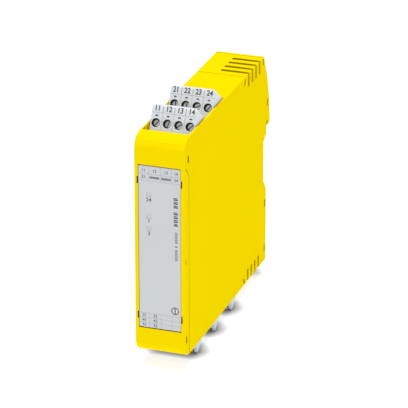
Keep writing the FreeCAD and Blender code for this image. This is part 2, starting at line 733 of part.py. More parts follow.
def make_plug_body(label):
    body = new_body(label)
    seat = "-plug_seat"
    nose_end = "-plug_seat - nose_length"
    profile = [
        ("0", "0"), ("0", "-band_height"), ("band_step", "-band_height - band_step"), ("band_step", seat),
        ("nose_inset", seat), ("nose_inset", nose_end),
        ("plug_thick - nose_inset", nose_end), ("plug_thick - nose_inset", seat),
        ("plug_thick", seat), ("plug_thick", "-plug_thick * tan(plug_slope)"),
    ]
    block = side_shape(body, "Pad", "Profile", profile, "plug_width")
    soften(block, "ridge_radius", lambda edge: is_at(edge, y=0, z=0, along="X"))
    round_ridge_ends(body)
    for way, word in ((1, "Right"), (-1, "Left")):
        cheek = new_sketch(body, f"{word}Cheek", "YZ_Plane", f"{way} * nose_width / 2")
        add_rectangle(cheek, "-1", f"{nose_end} - 1", "plug_thick + 1", seat)
        extrude("Pocket", cheek, "3", flipped=way > 0)

    features = []
    bore = new_sketch(body, "ScrewBore", "XZ_Plane")
    add_circle(bore, FIRST_POLE, "-screw_down", "screw_bore")
    features.append(extrude("Pocket", bore, "screw_sink"))
    passage = new_sketch(body, "ShankBore", "XZ_Plane")
    add_circle(passage, FIRST_POLE, "-screw_down", "shank_radius + 0.1")
    features.append(extrude("Pocket", passage, "screw_sink + 1"))
    features.append(pole_pocket(body, "Probe", "XZ_Plane", "0", "1.4", "probe_width / 2",
                                "-probe_down - probe_tall / 2", "-probe_down + probe_tall / 2"))
    # the clamp's chamber, the wire's way into it with a shallow lead, and the pin's way up
    features.append(pole_pocket(body, "Chamber", "XY_Plane", "-4.6", "7.0", "1.9", "3.5", "9.3"))
    features.append(pole_pocket(body, "WireEntry", "XY_Plane", "0", "6.0", "wire_width / 2",
                                "wire_front", "wire_back"))
    features.append(pole_pocket(body, "WireLead", "XY_Plane", "0", "1.7", "wire_width / 2 + 0.4",
                                "wire_front - 0.3", "wire_back + 0.3"))
    features.append(pole_pocket(body, "ContactWay", "XY_Plane", "-11", "12", "1.25", "4.25", "6.75"))
    repeat(body, features, "pole_pitch", POLES)

    # shallow grooves part the poles on the screw face
    grooves = new_sketch(body, "Grooves", "XZ_Plane")
    for number in range(POLES - 1):
        middle = f"{FIRST_POLE} + {number + 0.5} * pole_pitch"
        add_rectangle(grooves, f"{middle} - groove_width / 2", f"{seat} + 0.8",
                      f"{middle} + groove_width / 2", "-ridge_radius")
    extrude("Pocket", grooves, "groove_depth")
    return body


def each_pole():
    return [f"{FIRST_POLE} + {number} * pole_pitch" for number in range(POLES)]


def make_screws(label, turns):
    """Slotted clamp screws on the ledges inside the plug, each with its slot as it was left."""
    head_face = size("screw_sink - head_height")
    solids = []
    for middle, turn in zip(each_pole(), turns):
        centre = FreeCAD.Vector(size(middle), head_face, -size("screw_down"))
        back = FreeCAD.Vector(0, 1, 0)
        head = Part.makeCylinder(size("head_radius"), size("head_height"), centre, back)
        under = centre + back * size("head_height")
        shank = Part.makeCylinder(size("shank_radius"), CONTACT_BAR[0] - size("screw_sink"), under, back)
        half = size("head_radius") + 0.5
        slot = Part.makeBox(2 * half, size("slot_depth"), size("slot_width"),
                            centre - FreeCAD.Vector(half, 0, size("slot_width / 2")))
        slot.rotate(centre, back, -turn)
        solids.append(head.fuse(shank).removeSplitter().cut(slot))
    return add_feature(label, solids)


def add_feature(label, solids):
    feature = doc.addObject("Part::Feature", label)
    feature.Label = label
    feature.Shape = solids[0] if len(solids) == 1 else Part.makeCompound(solids)
    sub_parts.append(feature)
    return feature


def box(low, high):
    low, high = FreeCAD.Vector(*low), FreeCAD.Vector(*high)
    span = high - low
    return Part.makeBox(span.x, span.y, span.z, low)


def make_cages(label):
    """Lifting clamp cages: a square sleeve with the screw's thread in its near wall."""
    solids = []
    for middle in each_pole():
        x = size(middle)
        sleeve = box((x - 1.8, 3.7, -11.6), (x + 1.8, 9.1, -5.0))
        wire_way = box((x - 1.25, 4.9, -12), (x + 1.25, 8.3, -4))
        thread = Part.makeCylinder(size("shank_radius") + 0.02, 3,
                                   FreeCAD.Vector(x, 3, -size("screw_down")), FreeCAD.Vector(0, 1, 0))
        solids.append(sleeve.cut(wire_way).cut(thread))
    return add_feature(label, solids)


def make_contacts(label):
    """Spring contacts: a bar that the wire is pressed on, with a square socket for the pin."""
    middle_y = size(POLE_MIDDLE)
    pin = size("pin_size") + 0.1
    solids = []
    for middle in each_pole():
        x = size(middle)
        bar = box((x - 1.1, CONTACT_BAR[0], -12.8), (x + 1.1, CONTACT_BAR[1], -5.2))
        socket = box((x - 1.25, middle_y - 1.25, -21.0), (x + 1.25, middle_y + 1.25, -12.8))
        way = box((x - pin / 2, middle_y - pin / 2, -22), (x + pin / 2, middle_y + pin / 2, -13.4))
        solids.append(bar.fuse(socket).removeSplitter().cut(way))
    return add_feature(label, solids)


HEADER_TOP = "-plug_seat - wall_edge"
HEADER_LOW = "-plug_seat - nose_length - 2.2"


def make_header(label):
    """The open-topped shroud that a plug's nose goes into, held under the housing's floor."""
    body = new_body(label)
    outer = new_sketch(body, "Outer", "XY_Plane", HEADER_LOW)
    add_rectangle(outer, "-nose_width / 2 - 0.8", "0.2", "nose_width / 2 + 0.8", "plug_thick - 0.2")
    block = extrude("Pad", outer, f"{HEADER_TOP} - ({HEADER_LOW})")
    soften(block, "0.5", lambda edge: is_at(edge, along="Z"))
    inner = new_sketch(body, "Inner", "XY_Plane", HEADER_TOP)
    add_rectangle(inner, "-nose_width / 2 - 0.2", "nose_inset - 0.3",
                  "nose_width / 2 + 0.2", "plug_thick - nose_inset + 0.3")
    extrude("Pocket", inner, "nose_length - wall_edge + 0.6")
    holes = new_sketch(body, "PinHoles", "XY_Plane", HEADER_TOP)
    for middle in each_pole():
        add_rectangle(holes, f"{middle} - pin_size / 2", f"{POLE_MIDDLE} - pin_size / 2",
                      f"{middle} + pin_size / 2", f"{POLE_MIDDLE} + pin_size / 2")
    extrude("Pocket", holes, "20")
    return body


def make_header_pins(label, top):
    """Right-angled pins: up into the shroud, and sideways to the circuit board."""
    half = size("pin_size") / 2
    middle_y = size(POLE_MIDDLE)
    board = size("board_face") if not top else -size("board_face")
    way = -1 if top else 1
    solids = []
    for number, middle in enumerate(each_pole()):
        x = size(middle)
        order = number if top else POLES - 1 - number
        low = -29.0 - 1.9 * order
        upright = box((x - half, middle_y - half, low), (x + half, middle_y + half, -15.0))
        ends = sorted((x - way * half, board))
        run = box((ends[0], middle_y - half, low), (ends[1], middle_y + half, low + 2 * half))
        solids.append(upright.fuse(run).removeSplitter())
    return add_feature(label, solids)


def make_connector(name, row, top):
    pieces = [
        make_plug_body(f"plug_{name}"),
        make_screws(f"clamp_screws_{name}", SCREW_TURNS[name]),
        make_cages(f"clamp_cages_{name}"),
        make_contacts(f"contacts_{name}"),
        make_header(f"header_{name}"),
        make_header_pins(f"header_pins_{name}", top),
    ]
    for piece in pieces:
        piece.Placement = row_placement(row, top)


# ---------------------------------------------------------------- foot latch
def make_rail_latch():
    body = new_body("rail_latch")
    back = "body_depth - 0.4"
    front = f"{CHANNEL_FLOOR} + latch_play"
    slab = [
        at(front, "-latch_low"), at("body_depth + grip_proud", "-latch_low"),
        at("body_depth + grip_proud", "-latch_low + grip_tall"), at(back, "-flange_low"),
    ]
    # the ramp that rides over the rail's flange, and the nose that holds it
    slab += [
        at(back, "-25.5"), at("body_depth + 0.3", "-24.5"), at("body_depth + nose_proud", "-21.5"),
        at("body_depth + nose_proud", "-17.2"), at(SLOT_BACK, "-16.2"),
        at(SLOT_BACK, LATCH_TOP), at(front, LATCH_TOP),
    ]
    side_shape(body, "Pad", "Slab", slab, "latch_width")
    flange = [at(front, "-flange_low"), at(f"{FLANGE_FACE} - latch_play", "-flange_low"),
              at(f"{FLANGE_FACE} - latch_play", "-flange_high"), at(front, "-flange_high")]
    side_shape(body, "Pad", "Flange", flange, "latch_flange")
    window = new_sketch(body, "SpringWindow", "XZ_Plane", "overall_depth / 2 - body_depth - 4")
    add_rectangle(window, "-1.8", at("0", "-stop_low")[1], "1.8", at("0", "-spring_top")[1])
    extrude("Pocket", window, "latch_thick + 6", flipped=True)
    grip = new_sketch(body, "ToolSlot", "XY_Plane", at("0", "-latch_low")[1])
    add_rectangle(grip, "-2.4", at("body_depth - 1.2", "0")[0], "2.4", at("body_depth + 0.6", "0")[0])
    extrude("Pocket", grip, "2.0", flipped=True)
    return body


def make_latch_spring():
    """A coil between the housing's stop and the top of the latch's window."""
    wire = size("spring_wire") / 2
    radius = size("spring_radius")
    length = size("stop_high - spring_top") - 2 * wire
    helix = Part.makeHelix(length / SPRING_TURNS, length, radius)
    rim = []
    for corner in range(WIRE_SIDES + 1):
        turn = 2 * pi * corner / WIRE_SIDES
        rim.append(FreeCAD.Vector(radius + wire * cos(turn), 0, wire * sin(turn)))
    coil = Part.Wire(helix).makePipeShell([Part.makePolygon(rim)], True, True)
    spring = add_feature("latch_spring", [coil])
    y, z = (size(word) for word in at(f"{CHANNEL_FLOOR} + latch_play + latch_thick / 2", "-stop_high"))
    spring.Placement = FreeCAD.Placement(FreeCAD.Vector(0, y, z + wire), FreeCAD.Rotation())
    return spring


make_housing()
make_front_cover()
make_label_plate()
make_light_guides()
make_electronics()
for row, name in enumerate(("top_front", "top_rear")):
    make_connector(name, row, True)
for row, name in enumerate(("bottom_front", "bottom_middle", "bottom_rear")):
    make_connector(name, row, False)
make_rail_latch()
make_latch_spring()
doc.recompute()

faults = [item.Name for item in doc.Objects if "Invalid" in item.State or "Error" in item.State]
for item in doc.Objects:
    # a Pocket has to take something away and a later Pad has to add something
    if item.TypeId in ("PartDesign::Pocket", "PartDesign::Pad") and item.BaseFeature:
        change = item.Shape.Volume - item.BaseFeature.Shape.Volume
        if (change > -1e-3) if item.TypeId.endswith("Pocket") else (change < 1e-3):
            faults.append(item.Name)
for part in sub_parts:
    if part.Shape.isNull() or not part.Shape.isValid() or not part.Shape.Solids:
        faults.append(part.Label)
if faults:
    raise RuntimeError("these objects failed: " + ", ".join(faults))

os.makedirs("parts", exist_ok=True)
for part in sub_parts:
    part.Shape.exportStep(os.path.join("parts", part.Label + ".step"))
    print(part.Label, len(part.Shape.Solids), round(part.Shape.Volume, 1))
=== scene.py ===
import json
import math

import bmesh
import bpy
from mathutils import Matrix, Vector


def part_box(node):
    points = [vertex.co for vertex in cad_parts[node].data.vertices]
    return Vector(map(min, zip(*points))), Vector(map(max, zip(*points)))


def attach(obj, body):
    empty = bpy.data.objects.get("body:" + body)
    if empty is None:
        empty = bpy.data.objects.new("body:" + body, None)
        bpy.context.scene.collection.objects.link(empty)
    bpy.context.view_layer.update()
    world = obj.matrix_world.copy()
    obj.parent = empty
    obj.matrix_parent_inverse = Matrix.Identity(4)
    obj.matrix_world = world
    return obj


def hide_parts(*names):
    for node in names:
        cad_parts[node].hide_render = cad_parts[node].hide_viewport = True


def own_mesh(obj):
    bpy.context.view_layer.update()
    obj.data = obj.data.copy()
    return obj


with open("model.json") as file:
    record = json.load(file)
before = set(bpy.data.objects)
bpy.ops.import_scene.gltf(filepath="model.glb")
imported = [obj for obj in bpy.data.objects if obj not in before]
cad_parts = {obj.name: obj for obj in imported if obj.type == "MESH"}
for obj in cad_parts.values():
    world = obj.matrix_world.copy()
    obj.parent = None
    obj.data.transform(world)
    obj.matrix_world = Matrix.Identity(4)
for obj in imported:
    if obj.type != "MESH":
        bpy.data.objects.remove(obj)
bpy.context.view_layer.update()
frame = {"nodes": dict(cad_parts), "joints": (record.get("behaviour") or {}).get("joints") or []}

nodes = frame["nodes"]
mm = 0.001
across = Vector((1, 0, 0))
print("frame loaded:", len(nodes), "nodes")


class Wire:
    # a shader socket that takes part in sums
    def __init__(self, shader, socket):
        self.shader = shader
        self.socket = socket

    def __add__(self, other):
        return self.shader.maths("ADD", self, other)

    def __sub__(self, other):
        return self.shader.maths("SUBTRACT", self, other)

    def __rsub__(self, other):
        return self.shader.maths("SUBTRACT", other, self)

    def __mul__(self, other):
        return self.shader.maths("MULTIPLY", self, other)

    __radd__ = __add__
    __rmul__ = __mul__


class Shader:
    def __init__(self, name):
        self.material = bpy.data.materials.new(name)
        self.material.use_nodes = True
        self.tree = self.material.node_tree
        self.surface = self.tree.nodes["Principled BSDF"]

    def node(self, kind, sockets=None, settings=None, output=0):
        # the settings come first, because some of them change the sockets
        made = self.tree.nodes.new("ShaderNode" + kind)
        for name, setting in (settings or {}).items():
            setattr(made, name, setting)
        for socket, given in (sockets or {}).items():
            self.feed(made.inputs[socket], given)
        return Wire(self, made.outputs[output])

    def feed(self, target, given):
        if isinstance(given, Wire):
            self.tree.links.new(given.socket, target)
        elif isinstance(given, tuple) and len(given) == 3 and target.type == "RGBA":
            target.default_value = (*given, 1)
        else:
            target.default_value = given

    def maths(self, operation, first, second):
        return self.node("Math", {0: first, 1: second}, {"operation": operation})

    def dot(self, first, second):
        return self.node("VectorMath", {0: first, 1: second}, {"operation": "DOT_PRODUCT"}, "Value")

    def mix(self, share, first, second):
        return self.node("Mix", {0: share, 6: first, 7: second}, {"data_type": "RGBA"}, 2)

    def place(self):
        return self.node("TexCoord", output="Object")

    def noise(self, place, scale, detail=2.0, coarse=0.5):
        sockets = {"Vector": place, "Scale": scale, "Detail": detail, "Roughness": coarse}
        return self.node("TexNoise", sockets, output="Fac")

    def openness(self, reach, power, samples=8):
        # 1 in the open and towards 0 in a crevice, within so many mm
        free = self.node("AmbientOcclusion", {"Distance": reach * mm}, {"samples": samples}, "AO")
        result = free
        for step in range(power - 1):
            result = result * free
        return result

    def limit(self, given):
        return self.maths("MINIMUM", self.maths("MAXIMUM", given, 0.0), 1.0)

    def set(self, **sockets):
        for name, given in sockets.items():
            self.feed(self.surface.inputs[name.replace("_", " ")], given)
        return self.material


def linear(red, green, blue):
    # a colour as seen on a screen, 0 to 255, in the renderer's own linear light
    def channel(level):
        level /= 255
        return level / 12.92 if level <= 0.04045 else ((level + 0.055) / 1.055) ** 2.4
    return (channel(red), channel(green), channel(blue))


def around(share):
    # the point of a unit circle after this share of a turn
    return math.cos(2 * math.pi * share), math.sin(2 * math.pi * share)


def shade(colour, factor):
    return tuple(min(1.0, level * factor) for level in colour)


# grain: depth of the eroded texture, edge: how much paler the corners are, a painted highlight, shine:
# specular level,
# reach: how far the painted shade of a crevice reaches in mm, deep: the colour of that painted shade
plasticLook = {
    "housing": dict(colour=linear(249, 221, 1), rough=0.52, grain=0.16, edge=0.35, shine=0.0, reach=3.5,
                    deep=linear(182, 142, 0)),
    "cover": dict(colour=linear(250, 221, 1), rough=0.50, grain=0.12, edge=0.35, shine=0.0, reach=1.5,
                  deep=linear(135, 100, 4)),
    "label": dict(colour=linear(207, 210, 210), rough=0.50, grain=0.05, edge=0.10, shine=0.2, reach=0.4,
                  deep=linear(165, 168, 170)),
    "plug": dict(colour=linear(221, 226, 232), rough=0.38, grain=0.08, edge=0.20, shine=0.3, reach=0.8,
                 deep=linear(190, 196, 202)),
    "header": dict(colour=linear(70, 72, 74), rough=0.45, grain=0.10, edge=0.15, shine=0.4, reach=1.0,
                   deep=linear(52, 54, 56)),
    "latch": dict(colour=linear(62, 64, 66), rough=0.45, grain=0.12, edge=0.15, shine=0.4, reach=1.0,
                  deep=linear(46, 48, 50)),
    "relay": dict(colour=linear(236, 236, 230), rough=0.35, grain=0.05, edge=0.1, shine=0.4, reach=1.0,
                  deep=linear(190, 190, 184)),
    "chip": dict(colour=linear(40, 40, 42), rough=0.5, grain=0.15, edge=0.1, shine=0.4, reach=1.0,
                 deep=linear(28, 28, 30)),
    "transformer": dict(colour=linear(58, 50, 40), rough=0.5, grain=0.15, edge=0.1, shine=0.4, reach=1.0,
                        deep=linear(42, 36, 28)),
}
# size, height and bevel in mm; tones: how far the colour drifts; gloss: how far the roughness does
plasticGrain = {"size": 0.28, "height": 0.03, "detail": 3.0, "coarse": 0.6, "grainGloss": 0.10,
                "drift": 38.0, "tones": (0.975, 1.01), "driftGloss": 0.06,
                "bevel": 0.25, "edgeGain": 3.0, "paler": 1.12, "ior": 1.5}
polePitch = 5.0  # from screw to screw of a connector, in mm


def jointNamed(name):
    return next(joint for joint in frame["joints"] if joint["name"] == name)


def rowFrame(name):
    # a connector's screw face: the middle of its screws, its right, its way out, and the mm to its ridge
    out = Vector(jointNamed(f"plug_{name}_slide")["axis"]).normalized()
    right = across if out.z > 0 else -across
    normal = right.cross(out)
    plug = [vert.co for vert in nodes["plug_" + name].data.vertices]
    screws = [vert.co for vert in nodes["clamp_screws_" + name].data.vertices]
    face = max(point.dot(normal) for point in plug)
    line = (min(point.dot(out) for point in screws) + max(point.dot(out) for point in screws)) / 2
    ridge = max(point.dot(out) for point in plug)
    return normal * face + out * line, right, out, (ridge - line) / mm


# the screw wells' radius and how far under the face their painted shade starts, and where the painted cool
# cast of light fades, all in mm
plugTone = {"well": 1.88, "under": 0.06, "paintedWellShade": linear(74, 76, 80),
            "fadeFrom": 7.0, "fadeOver": 9.0, "paintedCoolCast": linear(209, 221, 239)}


def plugPaintedLight(shader, place, row, colour):
    # painted shade inside the screw wells of a connector, and a painted cool cast of light away from its
    # ridge
    look = plugTone
    origin, right, out, ridge = rowFrame(row)
    normal = right.cross(out)
    # how far the nearest screw's middle is to the side: the poles stand half a pitch off the centre
    folded = shader.maths("PINGPONG", shader.dot(place, tuple(across)), polePitch * mm)
    sideways = folded - polePitch / 2 * mm
    along = shader.dot(place, tuple(out)) - origin.dot(out)
    # a painted cool cast of light, stronger further from the ridge
    coolCastShare = shader.limit((look["fadeFrom"] * mm - along) * (1 / (look["fadeOver"] * mm)))
    colour = shader.mix(coolCastShare, colour, look["paintedCoolCast"])
    # painted shade inside the screw wells, below the face
    inside = shader.maths("LESS_THAN", sideways * sideways + along * along, (look["well"] * mm) ** 2)
    rim = origin.dot(normal) - look["under"] * mm
    sunk = shader.maths("LESS_THAN", shader.dot(place, tuple(normal)), rim)
    return shader.mix(inside * sunk, colour, look["paintedWellShade"])


def mouldedPlastic(name, row=None):
    # eroded-mould grain, slow drifts of tone and gloss, edges made paler as a painted highlight, and painted
    # shade in the crevices
    look, common = plasticLook[name], plasticGrain
    shader = Shader(name + "Plastic")
    place = shader.place()
    grain = shader.noise(place, 1 / (common["size"] * mm), common["detail"], common["coarse"])
    drift = shader.noise(place, common["drift"])
    rounded = shader.node("Bevel", {"Radius": common["bevel"] * mm}, {"samples": 4})
    likeness = shader.dot(rounded, shader.node("NewGeometry", output="Normal"))
    edge = shader.maths("MINIMUM", (1 - likeness) * common["edgeGain"], 1.0)
    low, high, painted_edge_highlight = (shade(look["colour"], tone) for tone in (*common["tones"], common["paler"]))
    # a painted highlight: paler where the rounded normal turns away from the true one, at the edges
    colour = shader.mix(edge * look["edge"], shader.mix(drift, low, high), painted_edge_highlight)
    # painted shade in crevices: the colour goes towards the deep colour where the surface is closed in
    colour = shader.mix(shader.openness(look["reach"], 2), look["deep"], colour)
    if row:
        # painted shade in the screw wells and a painted cool cast of light on a connector
        colour = plugPaintedLight(shader, place, row, colour)
    smoothest = look["rough"] - (common["grainGloss"] + common["driftGloss"]) / 2
    bump = shader.node("Bump", {"Strength": look["grain"], "Distance": common["height"] * mm,
                                "Height": grain, "Normal": rounded})
    return shader.set(Base_Color=colour, Normal=bump, IOR=common["ior"], Specular_IOR_Level=look["shine"],
                      Roughness=grain * common["grainGloss"] + drift * common["driftGloss"] + smoothest)


# reach: how far the painted shade of a crevice reaches in mm, deep: how dark that painted shade is against
# the colour
metalLook = {
    "screw": {"colour": linear(240, 242, 245), "rough": 0.34, "lines": 2600.0, "reach": 0.7, "deep": 0.08},
    "clamp": {"colour": linear(188, 190, 192), "rough": 0.38, "lines": 1800.0, "reach": 1.0, "deep": 0.5},
    "contact": {"colour": linear(216, 214, 205), "rough": 0.30, "lines": 1500.0, "reach": 0.5, "deep": 0.6},
    "spring": {"colour": linear(150, 152, 156), "rough": 0.28, "lines": 3000.0, "reach": 0.5, "deep": 0.6},
}
metalFilm = {"scale": 900.0, "detail": 4.0, "tones": (0.86, 1.04), "gloss": 0.18,
             "lineHeight": 0.01, "lineBump": 0.15}  # lineHeight in mm


def workedMetal(name):
    # rolled or turned metal with fine draw lines, a dull film and painted shade in its slots
    look, common = metalLook[name], metalFilm
    shader = Shader(name + "Metal")
    place = shader.place()
    film = shader.noise(place, common["scale"], common["detail"])
    lines = shader.noise(place, look["lines"])
    low, high = (shade(look["colour"], tone) for tone in common["tones"])
    deep = shade(look["colour"], look["deep"])
    # painted shade in slots and crevices, where the surface is closed in
    colour = shader.mix(shader.openness(look["reach"], 2), deep, shader.mix(film, low, high))
    bump = shader.node("Bump", {"Strength": common["lineBump"], "Distance": common["lineHeight"] * mm,
                                "Height": lines})
    return shader.set(Base_Color=colour, Metallic=1.0, Normal=bump,
                      Roughness=film * common["gloss"] + (look["rough"] - common["gloss"] / 2))


def clouded(name, look):
    # a surface whose colour drifts between two tones
    shader = Shader(name)
    place = shader.place()
    cloud = shader.noise(place, look["cloud"], look["detail"])
    return shader, place, shader.mix(cloud, look["deep"], look["bright"])


inkLook = {"dark": linear(66, 72, 80), "grey": linear(122, 128, 134),
           "pale": linear(172, 177, 182), "faint": linear(190, 194, 198)}
inkSpeck = {"cloud": 5000.0, "detail": 2.0, "tones": (0.9, 1.1), "rough": 0.55}


def printInk(name):
    deep, bright = (shade(inkLook[name], tone) for tone in inkSpeck["tones"])
    shader, place, colour = clouded(name + "Ink", dict(inkSpeck, deep=deep, bright=bright))
    return shader.set(Base_Color=colour, Roughness=inkSpeck["rough"])


guideLook = {"deep": linear(206, 210, 212), "bright": linear(216, 220, 222), "cloud": 1500.0, "detail": 2.0,
             "rough": 0.22, "through": 0.12, "ior": 1.49}


def clearGuide():
    shader, place, colour = clouded("guideClear", guideLook)
    return shader.set(Base_Color=colour, Roughness=guideLook["rough"], IOR=guideLook["ior"],
                      Transmission_Weight=guideLook["through"])


# weaveHeight in mm
boardLook = {"deep": linear(14, 74, 44), "bright": linear(24, 104, 62), "cloud": 120.0, "detail": 4.0,
             "weave": 900.0, "weaveHeight": 0.02, "weaveBump": 0.12, "rough": 0.3, "coat": 0.3}


def boardLaminate():
    # solder mask over a woven laminate
    look = boardLook
    shader, place, colour = clouded("boardLaminate", look)
    weave = shader.node("TexWave", {"Vector": place, "Scale": look["weave"]}, {"bands_direction": "Z"}, "Fac")
    bump = shader.node("Bump", {"Strength": look["weaveBump"], "Distance": look["weaveHeight"] * mm,
                                "Height": weave})
    return shader.set(Base_Color=colour, Normal=bump, Roughness=look["rough"], Coat_Weight=look["coat"])


canLook = {"deep": linear(26, 28, 36), "bright": linear(38, 40, 50), "cloud": 400.0, "detail": 3.0,
           "rough": 0.33}


def canSleeve():
    # a shrunk dark sleeve over the cans
    shader, place, colour = clouded("capacitorSleeve", canLook)
    return shader.set(Base_Color=colour, Roughness=canLook["rough"])


lampLook = {"deep": linear(150, 190, 150), "bright": linear(175, 210, 170), "cloud": 2000.0, "detail": 2.0,
            "rough": 0.25}


def lampEpoxy():
    shader, place, colour = clouded("lampEpoxy", lampLook)
    return shader.set(Base_Color=colour, Roughness=lampLook["rough"])


# every connector gets its own plastic, with painted shade in its screw wells, when it is dressed
finishes = {name: mouldedPlastic(name) for name in plasticLook if name != "plug"}
finishes.update({name: workedMetal(name) for name in metalLook})
inks = {name: printInk(name) for name in inkLook}
finishes.update(light_guide=clearGuide(), board=boardLaminate(), capacitor=canSleeve(), lamp=lampEpoxy())

# the finish of each node, by the start of its name; header_pins comes before header_
slotOfNode = {
    "housing": "housing", "front_cover": "cover", "label_plate": "label", "light_guides": "light_guide",
    "circuit_board": "board", "safety_contact_relay": "relay", "isolating_transformer": "transformer",
    "controller_chips": "chip", "smoothing_capacitors": "capacitor", "status_lamps": "lamp",
    "rail_latch": "latch", "latch_spring": "spring", "plug_": "plug", "clamp_screws": "screw",
    "clamp_cages": "clamp", "contacts": "contact", "header_pins": "contact", "header_": "header",
}


def dressNode(name, thing):
    slot = next(slot for start, slot in slotOfNode.items() if name.startswith(start))
    thing.data.materials.clear()
    if slot == "plug":
        thing.data.materials.append(mouldedPlastic("plug", name.removeprefix("plug_")))
    else:
        thing.data.materials.append(finishes[slot])
    for face in thing.data.polygons:
        face.material_index = 0


for name, thing in nodes.items():
    dressNode(name, thing)
print("finishes laid on", len(nodes), "nodes")


printThick = 0.02  # mm
capitalShare = 0.7  # the height of a figure against the font's size


class Print:
    # flat marks gathered in one mesh, on a plane with its own right, up and out
    def __init__(self, name, origin, right, up):
        self.name = name
        out = right.cross(up).normalized()
        self.matrix = Matrix.Translation(origin) @ Matrix((right, up, out)).transposed().to_4x4()
        self.shape = bmesh.new()
        self.inks = list(inks)

    def bar(self, x, y, width, height, ink, thick=printThick):
        low = Vector((x - width / 2, y - height / 2, 0))
        high = Vector((x + width / 2, y + height / 2, thick))
        made = bmesh.ops.create_cube(self.shape, size=1.0)["verts"]
        bmesh.ops.scale(self.shape, vec=high - low, verts=made)
        bmesh.ops.translate(self.shape, vec=(low + high) / 2, verts=made)
        for face in {face for vert in made for face in vert.link_faces}:
            face.material_index = self.inks.index(ink)

    def border(self, x, y, width, height, line, ink):
        for side in (-1, 1):
            self.bar(x + side * (width - line) / 2, y, line, height, ink)
            self.bar(x, y + side * (height - line) / 2, width, line, ink)

    def words(self, text, x, y, height, ink, wide=1.0, bold=0.012, thick=printThick):
        curve = bpy.data.curves.new("words", "FONT")
        curve.body = text
        curve.align_x = curve.align_y = "CENTER"
        curve.size = height / capitalShare
        curve.extrude = thick / 2
        curve.offset = bold * height
        carrier = bpy.data.objects.new("words", curve)
        bpy.context.scene.collection.objects.link(carrier)
        bpy.context.view_layer.update()
        flat = bpy.data.meshes.new_from_object(carrier.evaluated_get(bpy.context.evaluated_depsgraph_get()))
        place = Matrix.Translation((x, y, thick / 2)) @ Matrix.Diagonal((wide, 1, 1, 1))
        flat.transform(place)
        before = len(self.shape.faces)
        self.shape.from_mesh(flat)
        self.shape.faces.ensure_lookup_table()
        for face in self.shape.faces[before:]:
            face.material_index = self.inks.index(ink)
        bpy.data.objects.remove(carrier)
        bpy.data.meshes.remove(flat)
        bpy.data.curves.remove(curve)

    def ring(self, x, y, radius, line, ink, thick=printThick, steps=40):
        index = self.inks.index(ink)
        rims = []
        for reach in (radius - line, radius):
            for high in (0, thick):
                points = [around(step / steps) for step in range(steps)]
                rims.append([self.shape.verts.new((x + reach * side, y + reach * up, high))
                             for side, up in points])
        innerLow, innerHigh, outerLow, outerHigh = rims
        for first, second in ((innerHigh, outerHigh), (outerHigh, outerLow),
                              (outerLow, innerLow), (innerLow, innerHigh)):
            for step in range(steps):
                following = (step + 1) % steps
                corners = (first[step], second[step], second[following], first[following])
                self.shape.faces.new(corners).material_index = index

    def finish(self, body):
        mesh = bpy.data.meshes.new(self.name)
        bmesh.ops.scale(self.shape, vec=(mm, mm, mm), verts=self.shape.verts)
        bmesh.ops.recalc_face_normals(self.shape, faces=self.shape.faces)
        self.shape.to_mesh(mesh)
        self.shape.free()
        for ink in self.inks:
            mesh.materials.append(inks[ink])
        mesh.transform(self.matrix)
        thing = bpy.data.objects.new(self.name, mesh)
        bpy.context.scene.collection.objects.link(thing)
        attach(thing, body)


# all in mm; heights of windows, ladders and the mark are above the middle of the housing
labelPrint = {
    "columns": (-4.65, 0.45, 5.35), "columnMiddles": (-7.0, -2.15, 2.9, 7.25),
    "lineWidth": 0.14, "lineInset": 0.6, "lineMargin": 0.2, "figures": 1.25,
    "topLine": 3.55, "tableLow": 6.6, "headRows": (2.1, 5.0), "band": (4.3, 1.0),
    "numbers": (("11", "12", "13", "14"), ("21", "", "", "24")),
    "footRows": 3, "footPitch": 2.2, "footNumbers": 31,
    "windowSide": -4.75, "windowMarks": (("24", 21.4), ("1", 11.9), ("2", 6.2)),
    "windowFigures": 1.5, "windowWide": 1.15, "windowAbove": 2.1,
    "windowFrame": (2.1, 2.6), "windowLine": 0.1,
    "ladders": (
        {"side": 7.15, "low": 10.9, "high": 24.2, "width": 1.9, "words": (4, 3), "ink": "dark"},
        {"side": 7.3, "low": -4.7, "high": 8.5, "width": 1.25, "words": (5, 1, 5), "ink": "grey"}),
    # strokes: the height, side, width and thickness of each in shares of a cell; wordGap in cells
    "strokes": ((0.24, 0.0, 1.0, 0.34), (0.66, -0.06, 0.88, 0.22)), "wordGap": 0.8,
    "mark": {"side": 6.7, "height": -27.8, "radius": 1.7, "line": 0.35, "slot": (0.4, 2.7)},
}


def printLadder(sheet, offset, side, low, high, width, words, ink):
    # an upright line of print: short cross strokes in pairs, with a gap between its words
    gap = labelPrint["wordGap"]
    cells = sum(words) + gap * (len(words) - 1)
    pitch = (high - low) / cells
    cursor = low
    for word in words:
        for cell in range(word):
            foot = cursor + cell * pitch - offset
            for up, aside, wide, tall in labelPrint["strokes"]:
                sheet.bar(side + aside * width, foot + up * pitch, wide * width, tall * pitch, ink)
        cursor += (word + gap) * pitch


def printHeadTable(sheet, top, span):
    look = labelPrint
    for below in (look["tableLow"], look["topLine"]):
        sheet.bar(0, top - below, span, look["lineWidth"], "pale")
    for x in look["columns"]:
        tall = look["tableLow"] - 2 * look["lineMargin"]
        sheet.bar(x, top - look["tableLow"] / 2, look["lineWidth"], tall, "pale")
    for below, texts in zip(look["headRows"], look["numbers"]):
        for x, text in zip(look["columnMiddles"], texts):
            if text:
                sheet.words(text, x, top - below, look["figures"], "dark")
            else:
                sheet.bar(x, top - below, *look["band"], "grey")


